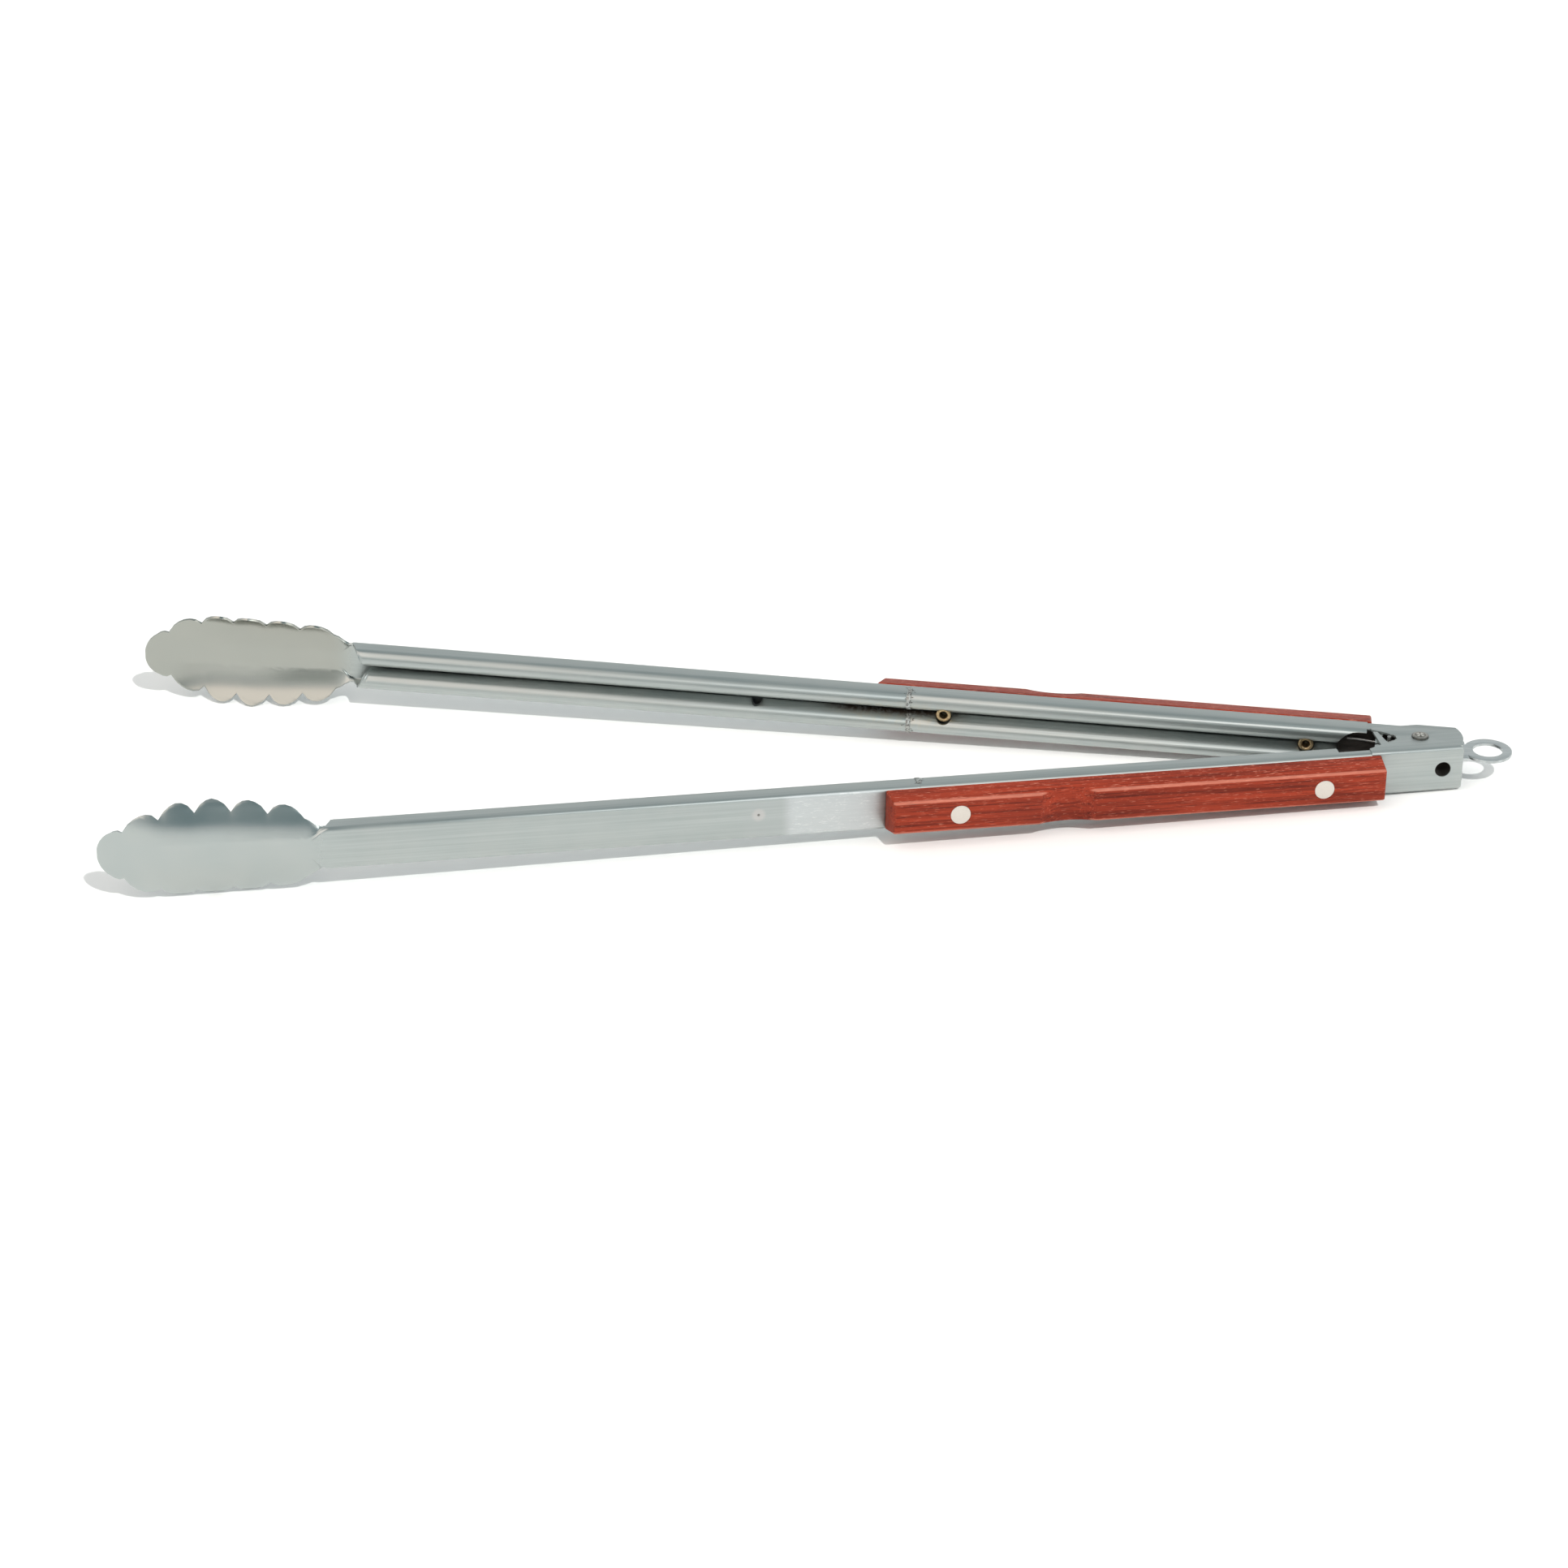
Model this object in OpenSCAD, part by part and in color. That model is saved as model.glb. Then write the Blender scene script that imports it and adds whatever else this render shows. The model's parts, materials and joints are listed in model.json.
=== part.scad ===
// Long spring-loaded kitchen tongs: two folded sheet-steel arms with wooden scales,
// a riveted hinge with an opening spring, and a pull-ring lock slide.
// The tongs lie on their side: the hinge axis is Z and the arms reach towards -X.
// The origin is the centre of the hanging hole in the lock slide's ring.

/* [Arms] */
// Distance from the hinge axis to the tip of a scoop
arm_len = 527; // [400:1:620]
// Angle from the middle plane to each arm at rest
half_open = 9.35; // [8:0.05:11]
// Distance from the arm's middle line to the outside of its back wall
web_offset = 11.6; // [11:0.1:14]
// Depth of the folded arm, from its back wall to its rolled lobes
arm_depth = 10.2; // [9.5:0.1:10.6]
// Height of the folded arm
arm_h = 17.8; // [16:0.1:19]
// Thickness of the sheet steel
sheet_t = 0.9; // [0.7:0.05:1.1]
// Radius outside the arm's two long bends
bend_r = 1.5; // [1.2:0.1:2]
// Radius outside a rolled lobe
lobe_r = 3.6; // [3:0.1:4]
// Gap between the two rolled lobes
seam_gap = 0.5; // [0.3:0.1:1]
// Distance from the hinge axis to the butt weld between handle and scoop segment
weld_u = 207; // [195:1:220]
// Diameter of the plug-weld access hole in the lobes
plug_hole_d = 4.6; // [3:0.1:6]
// Distance from the hinge axis to the plug-weld access hole
plug_u = 270; // [255:1:275]

/* [Scoops] */
// Length of the scoop, with its neck
scoop_len = 87; // [75:1:110]
// Half of the width across the widest scallops
scoop_half_w = 20; // [15:0.1:24]
// Half of the width of the flat strip along the middle of the scoop
floor_half_w = 4.2; // [3:0.1:7]
// How far the scoop's floor rises from the line of the back wall
floor_rise = 2.2; // [0:0.1:4]
// Height of the scoop's rim above the middle plane of the arm
rim_offset = 0.5; // [0.4:0.1:2]
// Number of scallops on each side behind the tip lobe
scallops = 5; // [3:1:7]
// Depth of a scallop's notch
scallop_depth = 3.6; // [1:0.1:4]
// Length of the rounded tip lobe
tip_lobe_len = 9.8; // [7:0.1:16]

/* [Hinge] */
// Distance from the hinge axis to the end of the back wall
web_end = 14.8; // [13:0.1:16]
// Radius of the rounded flange end about the hinge axis
flange_r = 17.2; // [16:0.1:18]
// Distance from the hinge axis to the flange's end on the arm side
flange_len = 17.7; // [17:0.1:19]
// Distance from the hinge axis to the start of the seam between the lobes
lobe_start = 33; // [30:0.5:36]
// How far an outer flange stands out past the face of the folded arm
flange_proud = 0.7; // [0.5:0.05:1]
// Gap between an outer flange and the inner flange beside it
flange_gap = 0.3; // [0.2:0.05:0.5]
// Diameter of the hinge rivet's shank
pivot_d = 3.5; // [3:0.1:4]
// Diameter of the hinge rivet's domed heads
pivot_head_d = 6.8; // [6:0.1:8]
// Height of the hinge rivet's domed heads
pivot_head_h = 0.9; // [0.6:0.1:1.2]
// Wall thickness of the sleeve on the hinge rivet
sleeve_wall = 0.7; // [0.5:0.05:0.9]
// Radial clearance of the parts that turn on the rivet
run_fit = 0.05; // [0.03:0.01:0.1]
// Diameter of the round hole in each back wall near the hinge
web_hole_d = 6.5; // [4:0.1:7]
// Distance from the hinge axis to that hole, past the axis
web_hole_u = 6.6; // [5:0.1:8]

/* [Lock] */
// Diameter of the hanging hole in the ring
ring_hole_d = 12; // [10:0.1:13]
// Outside diameter of the ring
ring_d = 19.4; // [17:0.1:20]
// Distance from the hinge axis to the centre of the ring
ring_x = 27.7; // [27:0.1:30]
// Thickness of the lock slide's plate
slide_t = 1.2; // [1:0.1:1.5]
// Width of the lock slide's plate
slide_w = 15; // [12:0.1:15]
// Height of the plate's middle above the middle plane
slide_z = 3; // [2.6:0.1:4]
// How far the ring pulls out from rest
pull_travel = 1.2; // [0.8:0.1:1.4]
// How far the ring pushes in from rest
push_travel = 1.3; // [0.8:0.1:1.4]
// Diameter of the lock bar
bar_d = 1.6; // [1.4:0.1:1.8]
// Distance from the hinge axis to the lock bar at rest
bar_x = 12.4; // [12.2:0.1:12.6]

/* [Spring] */
// Diameter of the spring wire
wire_d = 1.3; // [1:0.1:1.4]
// Middle diameter of the spring's coil
coil_d = 9; // [8:0.1:10]
// Whole turns in the coil
coil_turns = 5; // [4:1:6]
// Distance from the hinge axis to the end of a spring leg
leg_u = 29; // [24:1:34]

/* [Scales] */
// Distance from the hinge axis to the scale's hinge end
scale_start = 19.6; // [19:0.1:24]
// Distance from the hinge axis to the scale's scoop end
scale_end = 221.2; // [200:0.1:240]
// How far the scale stands back from each edge of the arm
scale_inset = 0.2; // [0:0.05:1]
// Thickness of the scale at its hinge end
scale_t_hinge = 10.2; // [8:0.1:12]
// Thickness of the scale at its scoop end
scale_t_scoop = 8.8; // [7:0.1:12]
// Slope of the scale's long bevels, sideways per unit of thickness
scale_slope = 0.21; // [0.1:0.01:0.35]
// Length of the bevel at the scale's hinge end
hinge_bevel = 0.4; // [0.2:0.1:3]
// Length of the bevel at the scale's scoop end
scoop_bevel = 2; // [0.2:0.1:6]
// Distance from the hinge axis to the thumb groove
groove_u = 149.5; // [120:0.5:165]
// Length of the thumb groove along the scale
groove_len = 22.7; // [15:0.1:30]
// Depth of the thumb groove
groove_depth = 3; // [1:0.1:4]

/* [Fasteners] */
// Distance from the hinge axis to the rivet near the hinge
rivet_hinge_u = 45.3; // [42:0.1:60]
// Distance from the hinge axis to the rivet near the scoop
rivet_scoop_u = 192.7; // [170:0.1:194]
// Diameter of the flat rivet heads
rivet_head_d = 8; // [6:0.1:9]
// Thickness of the flat rivet heads
rivet_head_t = 1.2; // [0.8:0.1:2]
// Diameter of the rivet shanks
rivet_d = 3; // [2.5:0.1:3.5]
// Outside diameter of the eyelet barrels
eyelet_d = 4.6; // [4.2:0.1:5]
// Outside diameter of the rolled eyelet rims
eyelet_rim_d = 6.1; // [5.4:0.1:6.2]
// Diameter of the access holes through the lobes over the eyelets
lobe_hole_d = 7; // [6.6:0.1:7.4]
// Clearance between a fastener and its hole, on the radius
hole_fit = 0.05; // [0.03:0.01:0.1]

/* [Splice] */
// Distance from the hinge axis to the inner end of the splice sleeve
splice_start = 198; // [194:1:200]
// Distance from the hinge axis to the outer end of the splice sleeve
splice_end = 262; // [240:1:265]
// Thickness of the splice sleeve's sheet
splice_t = 0.8; // [0.6:0.1:1]
// Width of the weld bead
bead_w = 1.8; // [1.5:0.1:3]
// Height of the weld bead above the sheet
bead_h = 0.25; // [0.2:0.05:0.6]

/* [Hidden] */
$fn = 96;
eps = 0.02;
lobe_w = web_offset - arm_depth + lobe_r;
lobe_z = arm_h / 2 - lobe_r;
web_in = web_offset - sheet_t;
scale_h = arm_h - 2 * scale_inset;
outer_flange_z = arm_h / 2 + flange_proud;
outer_in = outer_flange_z - sheet_t;
inner_out = outer_in - flange_gap;
inner_in = inner_out - sheet_t;
flange_reach = web_in - 0.5;
// Angle through which a lobe is rolled before it runs straight to the seam
roll_angle = 153.75;
seam_run = (lobe_z + lobe_r * cos(roll_angle) - seam_gap / 2) / sin(roll_angle);
// The lobes end here, clear of the other arm's hook, behind a U-shaped cut
lobe_first = norm([flange_len, flange_reach]) + 0.9;
mouth_r = arm_h / 2 - sheet_t - 0.25;
// In front the sheet is cut back further, so that only a strip of flange is left there
front_edge_w = (lobe_w + web_offset - bend_r) / 2;
front_lobe_start = lobe_start + 3;
slot_clear = 0.5;
bar_half_len = outer_flange_z - 0.2;
sleeve_half_len = inner_in - 0.1;
sleeve_bore_d = pivot_d + 2 * run_fit;
sleeve_d = sleeve_bore_d + 2 * sleeve_wall;
groove_r = (groove_len * groove_len / 4 + groove_depth * groove_depth) / (2 * groove_depth);
coil_pitch = wire_d + 0.15;
coil_top = slide_z - slide_t / 2 - 0.4 - wire_d / 2;

// Scoop stations, measured from the hinge axis
tip_start = arm_len - tip_lobe_len;
neck_start = arm_len - scoop_len - 7.5;
neck_end = arm_len - scoop_len;
wing_start = neck_end + 7.8;
wing_mid = tip_start - 0.42 * (tip_start - wing_start);
scallop_pitch = (tip_start - wing_start) / scallops;
scallop_steps = 6;
tip_steps = 9;
roll_steps = 12;
bend_steps = 3;
rim_w = rim_offset + sheet_t / 2;
floor_w = web_offset - sheet_t / 2;
mid_lobe_r = lobe_r - sheet_t / 2;
mid_bend_r = bend_r - sheet_t / 2;
mid_half_h = arm_h / 2 - sheet_t / 2;
// Rolled angle of the whole lobe, counting its straight run as if it were rolled too
roll_end = roll_angle + seam_run / mid_lobe_r * 180 / PI;

// ---- placing ----

// Moves the hinge axis to its place, with the ring hole at the origin
module at_hinge() {
    translate([-ring_x, 0, -slide_z]) children();
}

// Puts an arm, drawn with its length along +X and its back towards +Y, in front
module front_side() {
    at_hinge() rotate([0, 0, 180 + half_open]) children();
}

// The same arm, mirrored to the rear
module rear_side() {
    at_hinge() mirror([0, 1, 0]) rotate([0, 0, 180 + half_open]) children();
}

// Extrudes a cross-section, drawn as depth by height, along the arm
module along_arm(from, to) {
    translate([from, 0, 0]) rotate([90, 0, 90]) linear_extrude(to - from) children();
}

// A cylinder across the arm, from one depth to another
module across(u, from, to, d) {
    translate([u, from, 0]) rotate([-90, 0, 0]) cylinder(d = d, h = to - from);
}

// ---- arm cross-sections ----

// A block with two rounded corners on its far side
module bent_block(w0, w1, h, r) {
    translate([w0, -h / 2]) square([w1 - r - w0, h]);
    translate([w0, r - h / 2]) square([w1 - w0, h - 2 * r]);
    for (side = [-1, 1]) {
        translate([w1 - r, side * (h / 2 - r)]) circle(r);
    }
}

// Rolled part of one lobe, between two radii, then its straight run to the seam
module lobe_curl(r0, r1, run) {
    translate([lobe_w, lobe_z]) {
        intersection() {
            difference() {
                circle(r1);
                circle(r0);
            }
            polygon([[0, 0], [0, 9], [-9, 9], [-9, -9], [-9 * tan(180 - roll_angle), -9]]);
        }
        rotate(roll_angle) translate([-run, r0]) square([run, r1 - r0]);
    }
}

// Point beside a bent line, square to it at a distance
function beside(line, i, d) = let (
        run = line[min(len(line) - 1, i + 1)] - line[max(0, i - 1)]
    ) line[i] + d * [run[1], -run[0]] / norm(run);

// The folded sheet: back wall, two flanges and two rolled lobes that meet at a seam
module lobed_section() {
    half = folded_line(roll_end);
    count = len(half);
    line = concat([for (i = [count - 1 : -1 : 1]) [half[i][0], -half[i][1]]], half);
    polygon(concat(
        [for (i = [0 : len(line) - 1]) beside(line, i, sheet_t / 2)],
        [for (i = [len(line) - 1 : -1 : 0]) beside(line, i, -sheet_t / 2)]
    ));
}

// Bent channel at the hinge: back wall with two narrow flanges
module channel_section(half_h, depth) {
    difference() {
        bent_block(web_offset - depth, web_offset, 2 * half_h, bend_r);
        translate([web_offset - depth - bend_r, sheet_t - half_h])
            square([depth + bend_r - sheet_t, 2 * (half_h - sheet_t)]);
    }
}

// ---- hinge flanges ----

// Opening behind the hook: the lock bar moves in it through its whole travel
module hook_opening() {
    bar_in = bar_x + push_travel;
    bar_out = bar_x - pull_travel;
    clear_r = bar_d / 2 + slot_clear;
    polygon([
        [flange_len + 1, -flange_reach + 1.2],
        [bar_in + 0.4, -6.3],
        [bar_out + 0.4, -3.9],
        [bar_out - clear_r, -1.4],
        [bar_out - clear_r, 0.4],
        [bar_out + 0.8, 2.4],
        [bar_in + 0.6, 3.6],
        [bar_in + clear_r, 0.4],
        [bar_in + clear_r + 0.8, -6.4],
        [flange_len + 1, -6.9]
    ]);
    for (turn = [0, -half_open]) {
        for (reach = [bar_in, bar_out]) {
            rotate(turn) translate([reach, 0]) circle(clear_r);
        }
    }
}

// Plan outline of one hinge flange
module flange_outline(edge_w) {
    trim = 2 * half_open;
    difference() {
        union() {
            intersection() {
                circle(flange_r);
                translate([-flange_r, -flange_reach]) square([flange_r, flange_reach + web_offset - bend_r]);
                // Clears the other arm's back wall when the tongs are open
                rotate(-trim) translate([-2 * flange_r, -flange_reach]) square([4 * flange_r, 3 * flange_reach]);
            }
            translate([-web_end, web_offset / 2]) square([web_end + 1, web_offset / 2 - bend_r]);
            translate([-eps, -flange_reach]) square([flange_len + eps, flange_reach + web_offset - bend_r]);
            polygon([
                [flange_len - 1, web_offset - bend_r],
                [flange_len - 1, 4.8],
                [flange_len, 4.8],
                [lobe_first + 2, edge_w],
                [lobe_first + 2, web_offset - bend_r]
            ]);
        }
        hook_opening();
        circle(d = pivot_d + 2 * run_fit);
    }
}

// The hinge end of an arm: back wall, bends, strips and both flanges
module hinge_end(half_h, edge_w) {
    difference() {
        along_arm(-web_end, lobe_first + 2) channel_section(half_h, bend_r + 0.4);
        // Rounded lower and upper corners of the back wall's end
        for (side = [-1, 1]) {
            translate([-web_end, web_in - 1, side * half_h])
                rotate([-90, 0, 0])
                cylinder(r = 1.2, h = sheet_t + 2, $fn = 4);
        }
    }
    for (side = [-1, 1]) {
        z0 = side > 0 ? half_h - sheet_t : -half_h;
        translate([0, 0, z0]) linear_extrude(sheet_t) flange_outline(edge_w);
    }
}

// Handle half of an arm, from the hinge to the butt weld
module handle_channel(half_h, edge_w, lobes_from) {
    color([0.72, 0.74, 0.74])
    difference() {
        union() {
            difference() {
                along_arm(lobe_first, weld_u) lobed_section();
                // The mouth between the lobes: round at its end, open towards the hinge
                across(lobe_start - mouth_r, -1, web_in - 1, 2 * mouth_r);
                translate([lobe_first - 1, -1, -mouth_r])
                    cube([lobe_start - mouth_r - lobe_first + 1, web_in, 2 * mouth_r]);
                translate([lobe_first - 1, -1, -arm_h])
                    cube([lobes_from - lobe_first + 1, edge_w + 1, 2 * arm_h]);
            }
            hinge_end(half_h, edge_w);
        }
        across(-web_hole_u, web_in - 1, web_offset + 1, web_hole_d);
        for (u = [rivet_hinge_u, rivet_scoop_u]) {
            across(u, web_in - 1, web_offset + 1, rivet_d + 2 * hole_fit);
            across(u, web_offset - arm_depth - 1, web_in - 1, lobe_hole_d);
        }
    }
}

// ---- scoop segment: one sheet that unrolls into a scalloped scoop ----

function smooth(x) = let (c = min(1, max(0, x))) c * c * (3 - 2 * c);
function lerp(a, b, m) = a + (b - a) * m;

// Middle line of the folded sheet, from the back wall's middle to the seam
function bend_line() = [for (i = [0 : bend_steps])
    let (q = 90 * i / bend_steps)
    [floor_w - mid_bend_r + mid_bend_r * cos(q), mid_half_h - mid_bend_r + mid_bend_r * sin(q)]];
function roll_point(q) = let (
        bent = min(q, roll_angle),
        run = mid_lobe_r * (q - bent) * PI / 180
    )
    [lobe_w - mid_lobe_r * sin(bent) - run * cos(bent), lobe_z + mid_lobe_r * cos(bent) - run * sin(bent)];
function roll_line(last) = [for (i = [0 : roll_steps]) roll_point(last * i / roll_steps)];
function folded_line(last) = concat([[floor_w, 0], [floor_w, mid_half_h / 2]], bend_line(), roll_line(last));
line_count = 2 + bend_steps + 1 + roll_steps + 1;

// The same line where the lobes are cut away and only a short flange is left
function short_line(depth) = concat([[floor_w, 0], [floor_w, mid_half_h / 2]], bend_line(),
    [for (i = [0 : roll_steps])
        [floor_w - mid_bend_r - depth * (i + 1) / (roll_steps + 1), mid_half_h]]);

// Half width of the scoop at a distance from the hinge axis
function wing_scallop(u) = let (
        k = (u - wing_start) / scallop_pitch,
        part = k - floor(k)
    ) scallop_depth * (1 - pow(sin(180 * part), 0.62));
function wing_bow(u) = u > wing_mid ?
    scoop_half_w * (1 - 0.33 * pow((u - wing_mid) / (tip_start - wing_mid), 2)) :
    scoop_half_w * (1 - 0.2 * pow((wing_mid - u) / (wing_mid - wing_start), 2));
function tip_half_w(u) = let (
        q = min(1, max(0, (u - tip_start) / tip_lobe_len))
    ) (wing_bow(tip_start) - scallop_depth) * pow(1 - pow(q, 2.6), 0.5) + 0.9 * sin(180 * min(1, q * 2)) * (1 - q);
function wing_half_w(u) =
    u >= tip_start ? tip_half_w(u) :
    u >= wing_start ? wing_bow(u) - wing_scallop(u) :
    lerp(mid_half_h, wing_bow(wing_start) - scallop_depth, smooth((u - neck_end + 4) / (wing_start - neck_end + 4)));

// Depth of the scoop's sheet at a place across and along it
function side_rise(z) = let (
        q = min(1, max(0, abs(z) - floor_half_w) / (scoop_half_w - floor_half_w))
    ) 0.38 * q + 0.62 * (1 - pow(1 - pow(q, 3), 0.6));
function tip_rise(u) = let (q = max(0, u - wing_mid) / (arm_len - wing_mid)) 0.97 * pow(q, 2.4);
function scoop_floor(u) = floor_w - floor_rise * smooth((u - neck_end) / (wing_mid - neck_end));
function dish_w(u, z) = let (a = side_rise(z), b = tip_rise(u))
    lerp(scoop_floor(u), rim_w, a + b - a * b);
function scoop_line(u) = [for (i = [0 : line_count - 1])
    let (z = wing_half_w(u) * i / (line_count - 1)) [dish_w(u, z), z]];

function neck_line(u) = let (m = (u - neck_start) / (neck_end - neck_start))
    m < 0.72 ? folded_line(lerp(roll_end, 8, m / 0.72)) : short_line(lerp(arm_depth - lobe_r - bend_r, 1.2, (m - 0.72) / 0.28));

function sheet_line(u) =
    u <= neck_start ? folded_line(roll_end) :
    u <= neck_end ? neck_line(u) :
    u >= wing_start ? scoop_line(u) :
    let (m = smooth((u - neck_end) / (wing_start - neck_end)), a = short_line(1.2), b = scoop_line(u))
    [for (i = [0 : line_count - 1]) lerp(a[i], b[i], m)];

stations = concat(
    [weld_u + eps, (weld_u + neck_start) / 2, neck_start],
    [for (i = [1 : 6]) lerp(neck_start, neck_end, i / 6)],
    [for (i = [1 : 4]) lerp(neck_end, wing_start, i / 4)],
    [for (i = [1 : scallops * scallop_steps]) lerp(wing_start, tip_start, i / (scallops * scallop_steps))],
    [for (i = [1 : tip_steps]) tip_start + (tip_lobe_len - 0.15) * sin(90 * i / tip_steps)]
);

// Whole middle surface: rows of points from the lower edge to the upper edge
function full_row(u) = let (half = sheet_line(u)) concat(
    [for (i = [line_count - 1 : -1 : 1]) [u, half[i][0], -half[i][1]]],
    [for (i = [0 : line_count - 1]) [u, half[i][0], half[i][1]]]
);
row_len = 2 * line_count - 1;

function unit(v) = v / norm(v);
function sheet_normal(grid, i, j) = let (
        i0 = max(0, i - 1), i1 = min(len(grid) - 1, i + 1),
        j0 = max(0, j - 1), j1 = min(row_len - 1, j + 1)
    ) unit(cross(grid[i1][j] - grid[i0][j], grid[i][j1] - grid[i][j0]));

// A sheet of even thickness about a grid of middle points
module thick_sheet(grid, t) {
    rows = len(grid);
    count = rows * row_len;
    points = concat(
        [for (i = [0 : rows - 1], j = [0 : row_len - 1]) grid[i][j] + sheet_normal(grid, i, j) * t / 2],
        [for (i = [0 : rows - 1], j = [0 : row_len - 1]) grid[i][j] - sheet_normal(grid, i, j) * t / 2]
    );
    skin = [for (i = [0 : rows - 2], j = [0 : row_len - 2]) let (p = i * row_len + j)
        each [[p, p + row_len, p + row_len + 1], [p, p + row_len + 1, p + 1]]];
    back = [for (f = skin) [f[2] + count, f[1] + count, f[0] + count]];
    ends = [for (j = [0 : row_len - 2]) let (p = (rows - 1) * row_len + j)
        each [
            [j + 1, j + 1 + count, j + count], [j + 1, j + count, j],
            [p, p + count, p + 1 + count], [p, p + 1 + count, p + 1]
        ]];
    edges = [for (i = [0 : rows - 2]) let (p = i * row_len, q = p + row_len - 1)
        each [
            [p, p + count, p + row_len + count], [p, p + row_len + count, p + row_len],
            [q + row_len, q + row_len + count, q + count], [q + row_len, q + count, q]
        ]];
    polyhedron(points, concat(skin, back, ends, edges));
}

module scoop_arm() {
    color([0.7, 0.72, 0.72])
    difference() {
        thick_sheet([for (u = stations) full_row(u)], sheet_t);
        across(plug_u, web_offset - arm_depth - 1, web_in - 1, plug_hole_d);
    }
}

// ---- splice and weld ----

// Short channel inside the arm that backs the butt weld
module splice_sleeve() {
    fit = 0.1;
    half_out = arm_h / 2 - sheet_t - fit;
    color([0.62, 0.62, 0.6])
    along_arm(splice_start, splice_end)
    difference() {
        bent_block(lobe_w + 1, web_in - fit, 2 * half_out, bend_r);
        translate([lobe_w, splice_t - half_out]) square([web_in - fit - splice_t - lobe_w, 2 * (half_out - splice_t)]);
    }
}

// Bead of weld round the lobes and flanges, clear of the scale
module weld_bead() {
    color([0.55, 0.5, 0.44])
    along_arm(weld_u - bead_w / 2, weld_u + bead_w / 2)
    for (side = [0, 1]) {
        mirror([0, side]) {
            lobe_curl(lobe_r + eps, lobe_r + bead_h, seam_run / 2);
            translate([lobe_w, arm_h / 2 + eps]) square([web_offset - 2 * bend_r - lobe_w, bead_h - eps]);
        }
    }
}

// ---- wooden scale and its fasteners ----

function scale_t(u) = lerp(scale_t_hinge, scale_t_scoop, (u - scale_start) / (scale_end - scale_start));

module scale_blank() {
    u0 = scale_start;
    u1 = scale_end;
    t0 = scale_t_hinge;
    t1 = scale_t_scoop;
    h = scale_h / 2;
    w0 = web_offset + eps;
    h0 = h - t0 * scale_slope;
    h1 = h - t1 * scale_slope;
    polyhedron(
        [
            [u0, w0, -h], [u1, w0, -h], [u1, w0, h], [u0, w0, h],
            [u0 + hinge_bevel, w0 + t0, -h0], [u1 - scoop_bevel, w0 + t1, -h1],
            [u1 - scoop_bevel, w0 + t1, h1], [u0 + hinge_bevel, w0 + t0, h0]
        ],
        [[0, 1, 2, 3], [7, 6, 5, 4], [0, 4, 5, 1], [3, 2, 6, 7], [0, 3, 7, 4], [1, 5, 6, 2]]
    );
}

module wood_scale() {
    color([0.55, 0.2, 0.14])
    difference() {
        scale_blank();
        translate([groove_u, web_offset + scale_t(groove_u) + groove_r - groove_depth, 0])
            cylinder(r = groove_r, h = 2 * scale_h, center = true);
        for (u = [rivet_hinge_u, rivet_scoop_u]) {
            across(u, web_offset - 1, web_offset + 20, rivet_d + 2 * hole_fit);
            across(u, web_offset + scale_t(u) - rivet_head_t, web_offset + 20, rivet_head_d + 2 * hole_fit);
        }
    }
}

// Flat-headed post through the scale and the back wall
module scale_rivet(u) {
    face = web_offset + scale_t(u);
    color([0.86, 0.84, 0.78]) {
        across(u, face - rivet_head_t + eps, face, rivet_head_d);
        across(u, lobe_w + 2.2, face - rivet_head_t + 2 * eps, rivet_d);
    }
}

// Barrel with a rolled rim that closes the post inside the arm
module rivet_eyelet(u) {
    rim_r = (eyelet_rim_d - rivet_d) / 4;
    foot = lobe_w - 0.6;
    color([0.72, 0.6, 0.38])
    translate([u, foot, 0]) rotate([-90, 0, 0])
    rotate_extrude() {
        translate([rivet_d / 2 + hole_fit, 0]) square([(eyelet_d - rivet_d) / 2 - hole_fit, web_in - foot - eps]);
        translate([rivet_d / 2 + hole_fit + rim_r, 0]) circle(rim_r);
    }
}

// ---- hinge parts ----

module domed_head() {
    flat = 0.35;
    dome_r = (pow(pivot_head_d / 2, 2) + pow(pivot_head_h - flat, 2)) / (2 * (pivot_head_h - flat));
    cylinder(d = pivot_head_d, h = flat);
    intersection() {
        translate([0, 0, pivot_head_h - dome_r]) sphere(dome_r);
        cylinder(d = pivot_head_d, h = pivot_head_h);
    }
}

module pivot_rivet() {
    color([0.8, 0.8, 0.76])
    at_hinge() {
        cylinder(d = pivot_d, h = 2 * outer_flange_z + 1, center = true);
        translate([0, 0, outer_flange_z + eps]) domed_head();
        mirror([0, 0, 1]) translate([0, 0, outer_flange_z + eps]) domed_head();
    }
}

module pivot_sleeve() {
    color([0.66, 0.66, 0.62])
    at_hinge() rotate_extrude()
        translate([sleeve_bore_d / 2, -sleeve_half_len])
        square([sleeve_d / 2 - sleeve_bore_d / 2, 2 * sleeve_half_len]);
}

// Wire along a list of middle points
function wire_frame(path, i) = let (
        a = path[max(0, i - 1)], b = path[min(len(path) - 1, i + 1)],
        dir = unit(b - a),
        side = unit(cross(dir, [0, 0, 1]))
    ) [side, cross(side, dir)];
module wire(path, d, sides) {
    n = len(path);
    points = [for (i = [0 : n - 1], j = [0 : sides - 1])
        let (f = wire_frame(path, i), q = 360 * j / sides)
        path[i] + d / 2 * (f[0] * cos(q) + f[1] * sin(q))];
    skin = [for (i = [0 : n - 2], j = [0 : sides - 1])
        let (p = i * sides + j, q = i * sides + (j + 1) % sides)
        each [[p, q, q + sides], [p, q + sides, p + sides]]];
    lids = [[for (j = [sides - 1 : -1 : 0]) j], [for (j = [0 : sides - 1]) (n - 1) * sides + j]];
    polyhedron(points, concat(skin, lids));
}

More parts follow.
